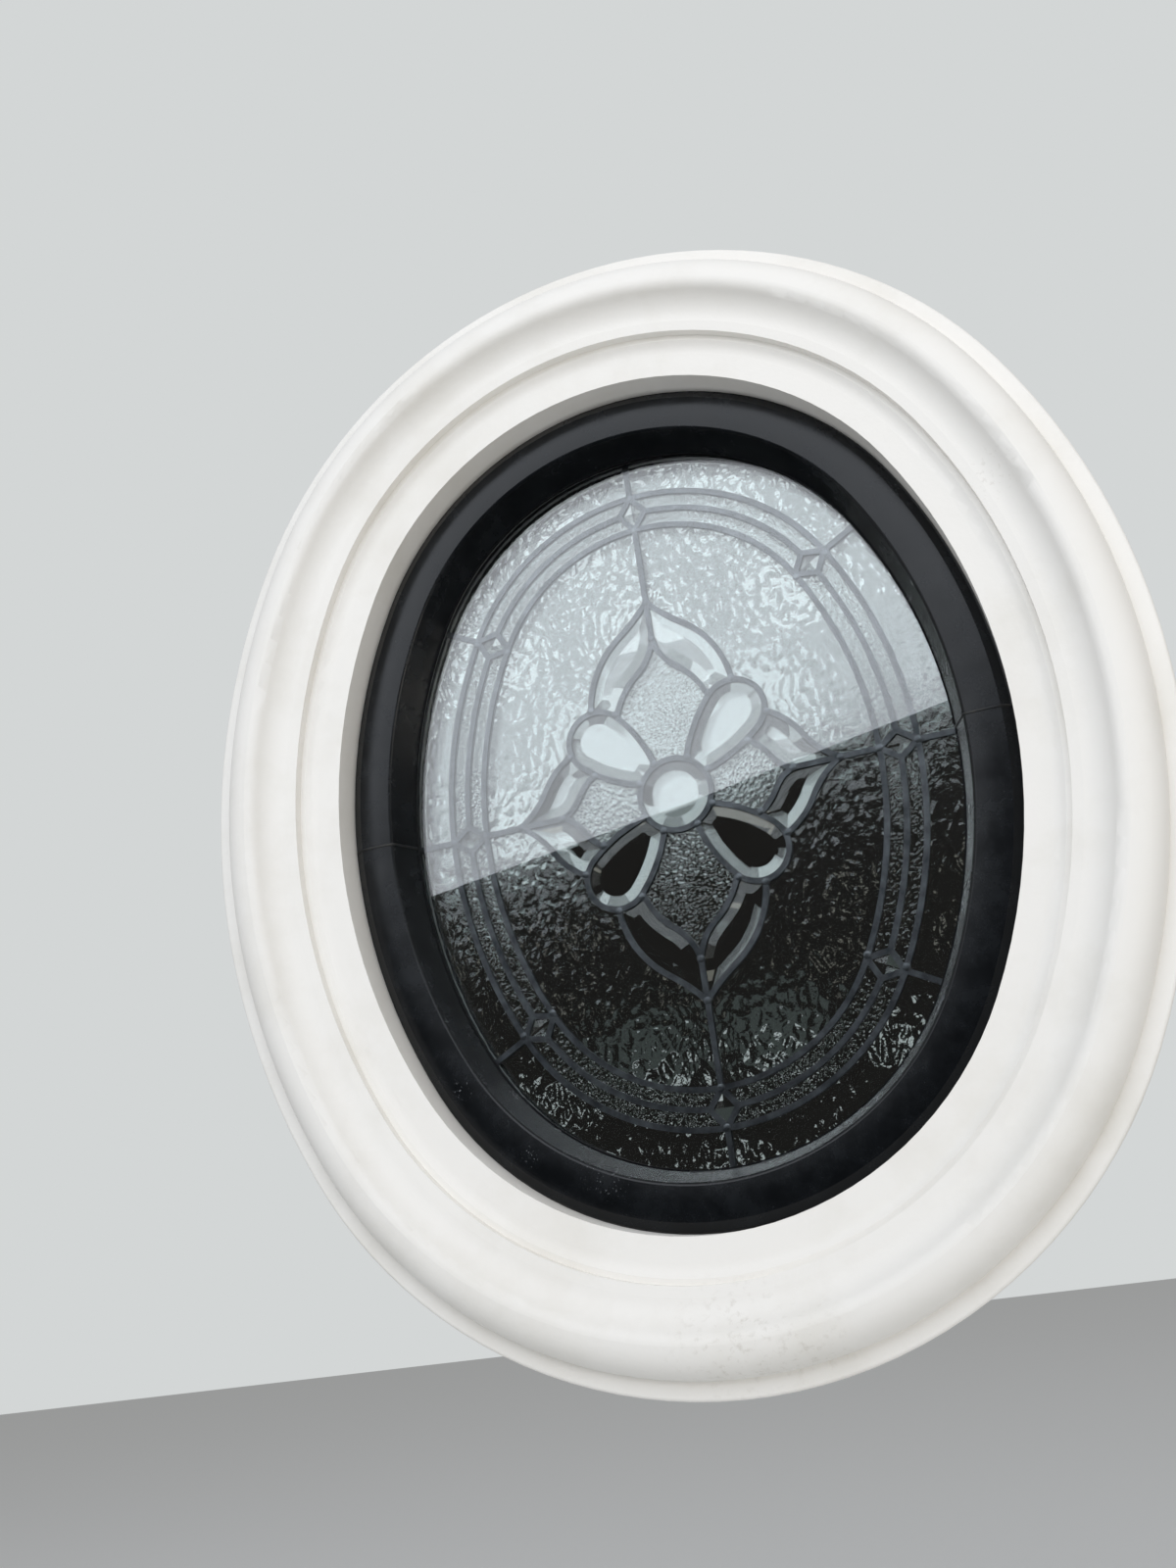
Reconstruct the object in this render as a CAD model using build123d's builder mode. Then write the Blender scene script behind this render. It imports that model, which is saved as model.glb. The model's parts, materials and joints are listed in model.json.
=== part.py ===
import os
from math import atan2, cos, degrees, radians, sin

from build123d import *

# An upright oval window for an outside wall. A bent frame in two halves holds a sealed unit whose middle
# layer is a leaded panel, and a one-piece moulding surrounds it outside.
# X runs across, Z up, and the outside faces -Y. The origin is the middle of the oval, in the plane where
# the frame's fixing fin lies against the wall behind it. Lengths are in millimetres.
# "Out" is measured outwards from the middle border came, and "ahead" forwards (-Y) from the fin's back.

# The oval of the middle border came: four arcs, tight at the top and bottom and flat at the sides.
half_width = 210.0
half_height = 290.0
end_tuck = 27.0  # how much smaller the radius of the top and bottom arcs is than the half width

# Glass, came and gaps of the leaded panel
sheet_glass = 4.0
bevel_plate = 5.0
bevel_edge = 3.0  # what is left of a bevelled plate's thickness at its rim
bevel_width = 11.0
came_width = 5.3
came_depth = 6.0
came_flange = 0.7
came_heart = 1.6
came_play = 0.3  # between the heart of a came and the glass
edge_came_width = 6.0
edge_came_web = 1.2

# Pattern of the leaded panel
border_width = 17.4  # between one border came and the next
diamond_width = 26.0
jewel_radius = 34.5
petal_middle = 96.0  # from the middle of the window to the middle of a petal's round end
petal_radius = 29.2
petal_tuck = 2.5  # how far a petal's outline runs in under the jewel's came
petal_root_width = 21.0
petal_side_radius = 140.0
tip_clearance = {"long": 95.0, "short": 53.0}  # from a tip to the middle border came
tip_hollow = {"long": 29.0, "short": 30.0}  # the length of the hollow stretch next to a tip
tip_hollow_width = {"long": 64.0, "short": 60.0}  # how wide the arch is where its hollow ends
tip_fullness = {"long": 0.154, "short": 0.124}  # how far the shoulder bulges, as a share of its length
heart_inset = {"long": 38.0, "short": 44.0}  # from a tip to the point of the heart inside it
heart_hollow = {"long": 33.0, "short": 18.0}
heart_hollow_width = {"long": 40.0, "short": 30.0}
heart_fullness = {"long": 0.148, "short": 0.119}
heart_landing = 66.0  # where the shoulders of the hearts run out, inside the petals

# Sealed unit
pane_glass = 4.0
air_gap = 5.0
spacer_width = 5.5
seal_width = 6.0
unit_setback = 14.0  # from the fin's back to the middle of the unit, towards the room

# Frame
sight_out = 52.0  # from the middle border came to the edge of the frame's front lip
edge_cover = 14.0  # how far the unit runs in behind the lip
edge_space = 3.0  # between the unit's edge and the frame, where the setting blocks sit
frame_face = 50.0
frame_ahead = 35.0
lip_slope = 9.0  # how far the lip leans back from its front arris to the sight line
nose_radius = 4.0
face_crown = 1.2
edge_chamfer_width = 8.0
edge_chamfer_depth = 6.0
back_inset = 2.0
frame_wall = 3.0
frame_rib = 2.0  # between one hollow chamber of the profile and the next
gasket_thickness = 3.0
gasket_width = 9.0
gasket_show = 1.0  # how far the front gasket shows inside the lip
bead_depth = 13.0
bead_lean = 5.0
fin_width = 35.0
fin_thickness = 2.0
fin_hole_out = 26.0  # from the frame's side to the middle of the fin's holes
fin_hole_radius = 2.5
fin_hole_count = 12
block_length = 60.0
block_angles = (60, 120, 200, 255, 285, 340)

# Surround
wall_ahead = 56.0  # from the fin's back to the wall's face
joint_width = 2.0  # sealant between the frame and the surround
joint_depth = 10.0
joint_recess = 2.0
reveal_thickness = 14.0
reveal_rise = 4.0  # the height of the reveal's front arris above the wall's face
band_width = 21.0
band_rise = 6.0
cove_width = 12.0
cove_depth = 1.3
ledge_rise = 10.0
ledge_width = 5.0
step_rise = 19.5
shelf_width = 9.0
shelf_rise = 21.0
crest_radius = 12.0
crest_turn = 60.0  # degrees from the crest to where the roll's inner side turns hollow
crest_rise = 41.0
fillet_rise = 12.0
fillet_width = 16.0
fillet_round = 3.0

# The four-centred oval
end_radius = half_width - end_tuck
side_radius = (half_width**2 + half_height**2 - 2 * half_height * end_radius) / (2 * end_tuck)
side_centre = side_radius - half_width
end_centre = half_height - end_radius
join_angle = degrees(atan2(end_centre, side_centre))  # the direction in which two arcs meet
oval_arcs = (
    (-side_centre, 0, side_radius, -join_angle, join_angle),
    (0, end_centre, end_radius, join_angle, 180 - join_angle),
    (side_centre, 0, side_radius, 180 - join_angle, 180 + join_angle),
    (0, -end_centre, end_radius, 180 + join_angle, 360 - join_angle),
)

# Layers of the sealed unit, ahead of the fin's back
panel_back = -unit_setback - came_depth / 2
panel_front = -unit_setback + came_depth / 2
unit_back = panel_back - air_gap - pane_glass
unit_front = panel_front + air_gap + pane_glass
sheet_back = -unit_setback - sheet_glass / 2

# Rings of the frame and the unit, out from the middle border came
unit_out = sight_out + edge_cover
seal_out = unit_out - seal_width
spacer_out = seal_out - spacer_width
rebate_out = unit_out + edge_space
frame_out = sight_out + frame_face
fin_out = frame_out + fin_width
lip_back = unit_front + gasket_thickness
bead_front = unit_back - gasket_thickness
frame_back = bead_front - bead_depth
reveal_out = frame_out + joint_width

flange_half = came_width / 2
heart_half = came_heart / 2
glass_line = heart_half + came_play  # from the middle of a came to the glass
face_line = glass_line + bevel_width  # from the middle of a came to the flat face of a bevelled plate
reach = 2 * (half_height + sight_out)  # longer than the leaded panel


def upright(ahead):
    """The plane of the window, so far ahead of the fin's back. Its X runs across and its Y up."""
    return Plane.XZ.offset(ahead)


def arc_at(direction):
    """The centre and radius of the oval's arc that faces a direction."""
    for turn in (0, 360):
        for x, z, radius, first, last in oval_arcs:
            if first + turn <= direction <= last + turn:
                return x, z, radius


def place_on_oval(direction, out):
    """The point in X and Z that lies so far out from the oval in a direction."""
    x, z, radius = arc_at(direction)
    along = radians(direction)
    return x + (radius + out) * cos(along), z + (radius + out) * sin(along)


def run_round(section, start=-join_angle, stop=360 - join_angle):
    """Carries a section round the oval between two directions, about the centres of its arcs."""
    for turn in (0, 360):
        for x, z, radius, first, last in oval_arcs:
            low, high = max(first + turn, start), min(last + turn, stop)
            if high - low < 1e-6:
                continue
            outward = Vector(cos(radians(low)), 0, sin(radians(low)))
            foot = Vector(x, 0, z) + outward * radius
            with BuildSketch(Plane(foot, x_dir=outward, z_dir=Vector(0, 1, 0).cross(outward))) as profile:
                section()
            revolve(profile.sketch, axis=Axis((x, 0, z), (0, -1, 0)), revolution_arc=high - low)


def slab(inner, outer, back, front):
    """A section with four sides, for run_round."""

    def section():
        with BuildLine() as rim:
            Polyline((inner, back), (outer, back), (outer, front), (inner, front), close=True)
        make_face(rim.line)

    return section


def keep(piece, name):
    """Labels a finished piece and writes it."""
    piece.part.label = name
    export_step(piece.part, f"parts/{name}.step")


os.makedirs("parts", exist_ok=True)


# The surround: a moulding with a big roll, a shelf, a step and a flat band, and a reveal that runs in
# to the frame's fin.
def surround_section():
    band_end = reveal_out + band_width
    step_out = band_end + cove_width + ledge_width
    shelf_end = step_out + shelf_width
    hollow_radius = (crest_rise - shelf_rise) / (1 - cos(radians(crest_turn))) - crest_radius
    crest_out = shelf_end + (hollow_radius + crest_radius) * sin(radians(crest_turn))
    outer_roll = crest_rise - fillet_rise
    fillet_out = crest_out + outer_roll + fillet_width
    with BuildLine() as rim:
        wall_line = Line((reveal_out + reveal_thickness, wall_ahead), (fillet_out, wall_ahead))
        side_line = Line(wall_line @ 1, (fillet_out, wall_ahead + fillet_rise - fillet_round))
        corner = JernArc(side_line @ 1, (0, 1), fillet_round, 90)
        fillet_line = Line(corner @ 1, (crest_out + outer_roll, wall_ahead + fillet_rise))
        roll = JernArc(fillet_line @ 1, (0, 1), outer_roll, 90)
        inner_roll = JernArc(roll @ 1, (-1, 0), crest_radius, crest_turn)
        hollow = JernArc(inner_roll @ 1, inner_roll % 1, hollow_radius, -crest_turn)
        shelf = Line(hollow @ 1, (step_out, wall_ahead + step_rise))
        ledge = Polyline(
            shelf @ 1,
            (step_out, wall_ahead + ledge_rise),
            (step_out - ledge_width, wall_ahead + ledge_rise),
        )
        cove = SagittaArc(ledge @ 1, (band_end, wall_ahead + band_rise), cove_depth)
        band = Line(cove @ 1, (reveal_out, wall_ahead + reveal_rise))
        Polyline(
            band @ 1,
            (reveal_out, fin_thickness),
            (reveal_out + reveal_thickness, fin_thickness),
            wall_line @ 0,
        )
    make_face(rim.line)


with BuildPart() as surround_moulding:
    run_round(surround_section)
keep(surround_moulding, "surround_moulding")


# The frame: one bent profile in two halves that meet at three and nine o'clock.
def frame_section():
    nose_out = sight_out + lip_slope
    with BuildLine() as rim:
        side = Line((frame_out, fin_thickness), (frame_out, frame_ahead - edge_chamfer_depth))
        chamfer_line = Line(side @ 1, (frame_out - edge_chamfer_width, frame_ahead))
        face = SagittaArc(chamfer_line @ 1, (nose_out + nose_radius, frame_ahead), -face_crown)
        nose = RadiusArc(face @ 1, (nose_out, frame_ahead - nose_radius), -nose_radius)
        Polyline(
            nose @ 1,
            (sight_out, lip_back),
            (rebate_out, lip_back),
            (rebate_out, frame_back),
            (frame_out - back_inset, frame_back),
            (frame_out - back_inset, 0),
            (fin_out, 0),
            (fin_out, fin_thickness),
            side @ 0,
        )
    make_face(rim.line)
    # The profile is hollow: one chamber behind the face, and two beside the sealed unit.
    with BuildSketch(mode=Mode.PRIVATE) as chambers:
        make_face(rim.line)
        offset(amount=-frame_wall, kind=Kind.INTERSECTION, mode=Mode.REPLACE)
        for rib_ahead in (lip_back, bead_front):
            with Locations((frame_out, rib_ahead)):
                Rectangle(2 * frame_face, frame_rib, mode=Mode.SUBTRACT)
    add(chambers.sketch, mode=Mode.SUBTRACT)


fin_hole_directions = [(number + 0.5) * 360 / fin_hole_count for number in range(fin_hole_count)]
for name, start in (("frame_upper_half", 0), ("frame_lower_half", 180)):
    with BuildPart() as frame_half:
        run_round(frame_section, start, start + 180)
        with BuildSketch(upright(0)):
            with Locations(*[place_on_oval(way, frame_out + fin_hole_out) for way in fin_hole_directions]):
                Circle(fin_hole_radius)
        extrude(amount=fin_thickness, mode=Mode.SUBTRACT)
    keep(frame_half, name)

# The sealant joint between the frame's side and the surround's reveal
joint_front = frame_ahead - edge_chamfer_depth - joint_recess
with BuildPart() as perimeter_sealant:
    run_round(slab(frame_out, reveal_out, joint_front - joint_depth, joint_front))
keep(perimeter_sealant, "perimeter_sealant")

# Gaskets in front of the unit and behind it
for name, inner, back in (
    ("outer_gasket", sight_out - gasket_show, unit_front),
    ("inner_gasket", sight_out + gasket_show, bead_front),
):
    with BuildPart() as gasket:
        run_round(slab(inner, inner + gasket_width, back, back + gasket_thickness))
    keep(gasket, name)


# The glazing bead on the room side, in two bent halves
def bead_section():
    with BuildLine() as rim:
        Polyline(
            (sight_out + gasket_show, bead_front),
            (rebate_out, bead_front),
            (rebate_out, frame_back),
            (sight_out + gasket_show + bead_lean, frame_back),
            close=True,
        )
    make_face(rim.line)


for name, start in (("glazing_bead_upper", 0), ("glazing_bead_lower", 180)):
    with BuildPart() as bead:
        run_round(bead_section, start, start + 180)
    keep(bead, name)

# Setting blocks between the unit's edge and the frame
with BuildPart() as setting_blocks:
    for way in block_angles:
        x, z, radius = arc_at(way)
        half_turn = degrees(block_length / 2 / (radius + unit_out))
        run_round(slab(unit_out, rebate_out, unit_back, unit_front), way - half_turn, way + half_turn)
keep(setting_blocks, "setting_blocks")


# Shapes drawn in the open sketch
def oval(grow, mode=Mode.ADD):
    """The oval of the middle border came, grown by a distance."""
    with BuildLine() as rim:
        for x, z, radius, first, last in oval_arcs:
            CenterArc((x, z), radius + grow, first, last - first)
    make_face(rim.line, mode=mode)


def oval_band(middle, half):
    """A band round the oval, half its width on each side of its middle."""
    oval(middle + half)
    oval(middle - half, Mode.SUBTRACT)


# The two panes, with the spacers and the seal that close the unit round its edge
for name, back in (("outer_pane", unit_front - pane_glass), ("inner_pane", unit_back)):
    with BuildPart() as pane:
        with BuildSketch(upright(back)):
            oval(unit_out)
        extrude(amount=pane_glass)
    keep(pane, name)

for name, back in (("spacer_front", panel_front), ("spacer_rear", panel_back - air_gap)):
    with BuildPart() as spacer:
        run_round(slab(spacer_out, seal_out, back, back + air_gap))
    keep(spacer, name)

with BuildPart() as edge_seal:
    run_round(slab(seal_out, unit_out, unit_back + pane_glass, unit_front - pane_glass))
keep(edge_seal, "edge_seal")


# Outlines of the leaded pattern. Each is drawn once along +X and turned into its places.
def petal_outline():
    """A rounded petal: a round end, and two full sides that narrow towards the jewel."""
    root = Vector(jewel_radius - petal_tuck, petal_root_width / 2)
    middle = Vector(petal_middle, 0)
    across = root - middle
    # The side's centre lies where a circle through the root touches the round end from outside.
    spare = petal_side_radius - petal_radius
    span = across.length
    along = (span**2 + spare**2 - petal_side_radius**2) / (2 * span)
    off = (spare**2 - along**2) ** 0.5
    unit = across.normalized()
    side_middle = middle + unit * along + Vector(-unit.Y, unit.X) * off
    touch = middle + (middle - side_middle).normalized() * petal_radius
    with BuildSketch() as shape:
        with BuildLine():
            side = RadiusArc(root, touch, petal_side_radius)
            lobe = ThreePointArc(touch, middle + Vector(petal_radius, 0), Vector(touch.X, -touch.Y))
            RadiusArc(lobe @ 1, Vector(root.X, -root.Y), petal_side_radius)
            Line((root.X, -root.Y), side @ 0)
        make_face()
    return shape.sketch


def ogee_outline(tip, hollow_length, hollow_width, fullness, landing):
    """A pointed arch on the middle of the window: a hollow at its tip, then a full shoulder."""
    waist = Vector(tip - hollow_length, hollow_width / 2)
    with BuildSketch() as shape:
        with BuildLine():
            full = SagittaArc(landing, waist, fullness * (waist - landing).length)
            hollow = TangentArc(full @ 1, (tip, 0), tangent=full % 1)
            Polyline(hollow @ 1, (0, 0), landing)
        make_face()
        mirror(about=Plane.XZ)
    return shape.sketch


petal_shape = petal_outline()
lobe_middle = Vector(petal_middle, 0).rotate(Axis.Z, 45)
heart_end = Vector(heart_landing, 0).rotate(Axis.Z, 45)
tip_shapes = {}
heart_shapes = {}
for size, half_length in (("long", half_height), ("short", half_width)):
    tip = half_length - tip_clearance[size]
    tip_shapes[size] = ogee_outline(
        tip, tip_hollow[size], tip_hollow_width[size], tip_fullness[size], lobe_middle
    )
    heart_shapes[size] = ogee_outline(
        tip - heart_inset[size], heart_hollow[size], heart_hollow_width[size], heart_fullness[size], heart_end
    )


def grown(shape, distance, sharp=False):
    """A shape with its outline moved outwards by a distance, or inwards by a negative one."""
    corner = Kind.INTERSECTION if sharp or distance < 0 else Kind.ARC
    return offset(shape, amount=distance, kind=corner, mode=Mode.PRIVATE)


def petals(grow, mode=Mode.ADD):
    with PolarLocations(0, 4, start_angle=45):
        add(grown(petal_shape, grow), mode=mode)


def arches(shapes, grow, mode=Mode.ADD):
    """The two short and the two long arches of one kind: the tips, or the hearts inside them."""
    for size, first in (("short", 0), ("long", 90)):
        with PolarLocations(0, 2, start_angle=first):
            add(grown(shapes[size], grow), mode=mode)


def cross(half, mode=Mode.ADD):
    """An upright and a level strip through the middle."""
    Rectangle(2 * half, reach, mode=mode)
    Rectangle(reach, 2 * half, mode=mode)


# The outer spokes and the diamonds stand at eight places, equally far apart round the oval.
side_share = side_radius * radians(join_angle)
quarter_length = side_share + end_radius * radians(90 - join_angle)
if quarter_length / 2 < side_share:
    corner_way = degrees(quarter_length / 2 / side_radius)
else:
    corner_way = join_angle + degrees((quarter_length / 2 - side_share) / end_radius)
spoke_ways = (0, corner_way, 90, 180 - corner_way, 180, 180 + corner_way, 270, 360 - corner_way)
spoke_places = [Location((*place_on_oval(way, 0), 0), (0, 0, way)) for way in spoke_ways]

with BuildSketch() as diamond:
    with BuildLine():
        Polyline(
            (border_width, 0),
            (0, diamond_width / 2),
            (-border_width, 0),
            (0, -diamond_width / 2),
            close=True,
        )
    make_face()
diamond_shape = diamond.sketch


def diamonds(grow, mode=Mode.ADD):
    with Locations(*spoke_places):
        add(grown(diamond_shape, grow, sharp=True), mode=mode)


def outer_spokes(half, mode=Mode.ADD):
    with Locations(*spoke_places):
        Rectangle(4 * sight_out, 2 * half, mode=mode)


# Regions of the pattern. Each takes the half width of a came, or the distance from a came's middle to
# the glass, and stops at its neighbours by the same distance.
def jewel_region(half):
    Circle(jewel_radius + half)
    Circle(jewel_radius - half, mode=Mode.SUBTRACT)


def petal_region(half):
    petals(half)
    petals(-half, Mode.SUBTRACT)
    Circle(jewel_radius + half, mode=Mode.SUBTRACT)


def heart_region(half):
    arches(heart_shapes, half)
    arches(heart_shapes, -half, Mode.SUBTRACT)
    petals(half, Mode.SUBTRACT)
    Circle(jewel_radius + half, mode=Mode.SUBTRACT)


def tip_region(half):
    arches(tip_shapes, half)
    arches(tip_shapes, -half, Mode.SUBTRACT)
    petals(half, Mode.SUBTRACT)
    Circle(jewel_radius + half, mode=Mode.SUBTRACT)


def stem_region(half):
    cross(half)
    with BuildSketch(mode=Mode.PRIVATE) as inside:
        arches(tip_shapes, -half)
    add(inside.sketch, mode=Mode.INTERSECT)
    arches(heart_shapes, half, Mode.SUBTRACT)


def inner_spoke_region(half):
    cross(half)
    oval(-border_width - half, Mode.INTERSECT)
    arches(tip_shapes, half, Mode.SUBTRACT)


def inner_border_region(half):
    oval_band(-border_width, half)


def middle_border_region(half):
    oval_band(0, half)
    diamonds(half, Mode.SUBTRACT)


def outer_border_region(half):
    oval_band(border_width, half)


def diamond_region(half):
    diamonds(half)
    diamonds(-half, Mode.SUBTRACT)
    oval(border_width - half, Mode.INTERSECT)
    oval(half - border_width, Mode.SUBTRACT)


def outer_spoke_region(half):
    outer_spokes(half)
    oval(seal_out - edge_came_width, Mode.INTERSECT)
    oval(border_width + half, Mode.SUBTRACT)


came_regions = {
    "jewel_came": jewel_region,
    "petal_cames": petal_region,
    "heart_cames": heart_region,
    "tip_cames": tip_region,
    "stem_cames": stem_region,
    "inner_spoke_cames": inner_spoke_region,
    "inner_border_came": inner_border_region,
    "middle_border_cames": middle_border_region,
    "outer_border_came": outer_border_region,
    "diamond_cames": diamond_region,
    "outer_spoke_cames": outer_spoke_region,
}
for name, region in came_regions.items():
    with BuildPart() as came:
        for back, depth, half in (
            (panel_back, came_flange, flange_half),
            (panel_back + came_flange, came_depth - 2 * came_flange, heart_half),
            (panel_front - came_flange, came_flange, flange_half),
        ):
            with BuildSketch(upright(back)):
                region(half)
            extrude(amount=depth)
    keep(came, name)

# The came round the panel's edge: a channel, open inwards
with BuildPart() as edge_came:
    for inner, back, front in (
        (seal_out - edge_came_width, panel_back, panel_back + came_flange),
        (seal_out - edge_came_web, panel_back + came_flange, panel_front - came_flange),
        (seal_out - edge_came_width, panel_front - came_flange, panel_front),
    ):
        run_round(slab(inner, seal_out, back, front))
keep(edge_came, "edge_came")


# The glass
def quarter_window(across, up, mode=Mode.INTERSECT):
    """Keeps what lies in one quarter of the window."""
    with Locations((across * reach / 2, up * reach / 2)):
        Rectangle(reach, reach, mode=mode)


def grind_rim():
    """Grinds a bevel round the front face of a plate."""
    front_face = faces().sort_by(Axis.Y)[0]
    chamfer(front_face.edges(), length=bevel_plate - bevel_edge, length2=bevel_width)


with BuildPart() as centre_jewel:
    with BuildSketch(upright(sheet_back)):
        Circle(jewel_radius - glass_line)
    extrude(amount=bevel_plate)
    grind_rim()
keep(centre_jewel, "centre_jewel")

quarters = {"upper_right": (1, 1), "upper_left": (-1, 1), "lower_left": (-1, -1), "lower_right": (1, -1)}
for name, (across, up) in quarters.items():
    with BuildPart() as petal:
        with BuildSketch(upright(sheet_back)):
            petals(-glass_line)
            quarter_window(across, up)
            Circle(jewel_radius + glass_line, mode=Mode.SUBTRACT)
        extrude(amount=bevel_plate)
        grind_rim()
    keep(petal, f"petal_{name}")

    with BuildPart() as field:
        with BuildSketch(upright(sheet_back)):
            oval(-border_width - glass_line)
            quarter_window(across, up)
            cross(glass_line, Mode.SUBTRACT)
            arches(tip_shapes, glass_line, Mode.SUBTRACT)
            petals(glass_line, Mode.SUBTRACT)
            Circle(jewel_radius + glass_line, mode=Mode.SUBTRACT)
        extrude(amount=sheet_glass)
    keep(field, f"field_{name}")

# A heart lies between each pair of tips, the jewel and two petals.
for name, (size, turn) in {
    "heart_right": ("short", 0),
    "heart_top": ("long", 90),
    "heart_left": ("short", 180),
    "heart_bottom": ("long", 270),
}.items():
    with BuildPart() as heart_piece:
        with BuildSketch(upright(sheet_back)):
            add(grown(heart_shapes[size], -glass_line), rotation=turn)
            petals(glass_line, Mode.SUBTRACT)
            Circle(jewel_radius + glass_line, mode=Mode.SUBTRACT)
        extrude(amount=sheet_glass)
    keep(heart_piece, name)

# Each tip is a pair of mirrored plates. Their bevels slope in from every came that they meet.
slope_foot = sheet_back + bevel_edge
slope_top = sheet_back + bevel_plate


def turned(shape, turn):
    """Draws a shape of the pattern in one of its places, grown by a distance."""

    def draw(grow, mode=Mode.ADD):
        add(grown(shape, grow), rotation=turn, mode=mode)

    return draw


def stem(turn):
    """Draws a strip along the came between the two plates of a tip."""

    def draw(half, mode=Mode.ADD):
        Rectangle(reach, 2 * half, rotation=turn, mode=mode)

    return draw


def slope(draw, near, far, mode):
    """A solid whose sides slope with the bevels, from one distance off a came to another."""
    with BuildSketch(upright(slope_foot)) as low:
        draw(near)
    with BuildSketch(upright(slope_top)) as high:
        draw(far)
    loft([low.sketch, high.sketch], ruled=True, mode=mode)


for size, turn in (("short", 0), ("long", 90)):
    arch = turned(tip_shapes[size], turn)
    neighbours = (turned(heart_shapes[size], turn), turned(petal_shape, 45), stem(turn))
    with BuildPart() as first_tip:
        slope(arch, -glass_line, -face_line, Mode.ADD)
        for neighbour in neighbours:
            slope(neighbour, glass_line, face_line, Mode.SUBTRACT)
        with BuildSketch(upright(slope_foot)):
            quarter_window(1, 1, Mode.ADD)
        extrude(amount=slope_top - slope_foot, mode=Mode.INTERSECT)
        with BuildSketch(upright(sheet_back)):
            arch(-glass_line)
            quarter_window(1, 1)
            for neighbour in neighbours:
                neighbour(glass_line, Mode.SUBTRACT)
        extrude(amount=bevel_edge)
    for name, (across, up) in quarters.items():
        plate = first_tip.part if across > 0 else first_tip.part.mirror(Plane.YZ)
        with BuildPart() as tip_plate:
            add(plate if up > 0 else plate.mirror(Plane.XY))
        keep(tip_plate, f"{size}_tip_{name}")

# The diamonds rise to a point over their rims.
with BuildPart() as diamond_glass:
    with BuildSketch(upright(sheet_back)):
        diamonds(-glass_line)
    extrude(amount=bevel_edge)
    for place, way in zip(spoke_places, spoke_ways):
        with BuildSketch(upright(slope_foot)) as rim_face:
            with Locations(place):
                add(grown(diamond_shape, -glass_line))
        x, z = place_on_oval(way, 0)
        loft([rim_face.sketch, Vertex(x, -slope_top, z)], ruled=True)
keep(diamond_glass, "diamond_glass")

# The two border strips and the outer field, each cut into eight
with BuildPart() as inner_border_glass:
    with BuildSketch(upright(sheet_back)):
        oval(-glass_line)
        oval(glass_line - border_width, Mode.SUBTRACT)
        diamonds(glass_line, Mode.SUBTRACT)
    extrude(amount=sheet_glass)
keep(inner_border_glass, "inner_border_glass")

with BuildPart() as outer_border_glass:
    with BuildSketch(upright(sheet_back)):
        oval(border_width - glass_line)
        oval(glass_line, Mode.SUBTRACT)
        diamonds(glass_line, Mode.SUBTRACT)
    extrude(amount=sheet_glass)
keep(outer_border_glass, "outer_border_glass")

with BuildPart() as outer_field_glass:
    with BuildSketch(upright(sheet_back)):
        oval(seal_out - edge_came_web - came_play)
        oval(border_width + glass_line, Mode.SUBTRACT)
        outer_spokes(glass_line, Mode.SUBTRACT)
    extrude(amount=sheet_glass)
keep(outer_field_glass, "outer_field_glass")
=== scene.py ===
import json
from math import cos, pi, radians, sin

import bmesh
import bpy
import numpy as np
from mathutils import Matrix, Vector, noise
from mathutils.geometry import delaunay_2d_cdt


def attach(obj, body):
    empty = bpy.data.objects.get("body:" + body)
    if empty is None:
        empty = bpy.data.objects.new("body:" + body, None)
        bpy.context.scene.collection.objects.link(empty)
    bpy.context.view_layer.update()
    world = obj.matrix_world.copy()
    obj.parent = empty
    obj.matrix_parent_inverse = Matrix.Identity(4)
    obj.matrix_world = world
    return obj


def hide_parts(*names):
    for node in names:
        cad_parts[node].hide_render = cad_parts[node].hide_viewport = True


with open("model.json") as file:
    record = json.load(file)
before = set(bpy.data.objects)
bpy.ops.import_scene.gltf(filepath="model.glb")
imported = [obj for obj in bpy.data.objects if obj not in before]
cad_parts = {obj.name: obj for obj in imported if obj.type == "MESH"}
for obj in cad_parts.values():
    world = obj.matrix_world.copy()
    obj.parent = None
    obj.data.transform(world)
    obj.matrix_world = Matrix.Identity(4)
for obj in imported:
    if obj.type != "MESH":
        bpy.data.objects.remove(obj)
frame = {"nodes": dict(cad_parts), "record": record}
nodes = frame["nodes"]
slotOf = {part["node"]: part["material_slot"] for part in frame["record"]["subparts"]}
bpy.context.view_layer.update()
print("frame loaded:", len(nodes), "nodes")

mm = 0.001  # sizes are written in millimetres


def linearColour(hexValue):
    # "#rrggbb" in sRGB, as the linear colour that a socket takes
    channels = [int(hexValue[i:i + 2], 16) / 255 for i in (1, 3, 5)]
    return [c / 12.92 if c <= 0.04045 else ((c + 0.055) / 1.055) ** 2.4 for c in channels] + [1.0]


def addNode(tree, kind, settings=None, inputs=None):
    # one node; each input is a value, or the socket that it is linked from
    node = tree.nodes.new(kind)
    for name, value in (settings or {}).items():
        setattr(node, name, value)
    for name, value in (inputs or {}).items():
        if isinstance(value, bpy.types.NodeSocket):
            tree.links.new(value, node.inputs[name])
        else:
            node.inputs[name].default_value = value
    return node


def startMaterial(name, sockets):
    # a material with these constant values on its shader
    material = bpy.data.materials.new(name)
    material.use_nodes = True
    shader = material.node_tree.nodes["Principled BSDF"]
    for socket, value in sockets.items():
        shader.inputs[socket].default_value = linearColour(value) if isinstance(value, str) else value
    return material, material.node_tree, shader


def showObject(name, mesh):
    shown = bpy.data.objects.new(name, mesh)
    bpy.context.scene.collection.objects.link(shown)
    return shown


# Camera: a look up at the window from below, a little from its right side

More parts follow.
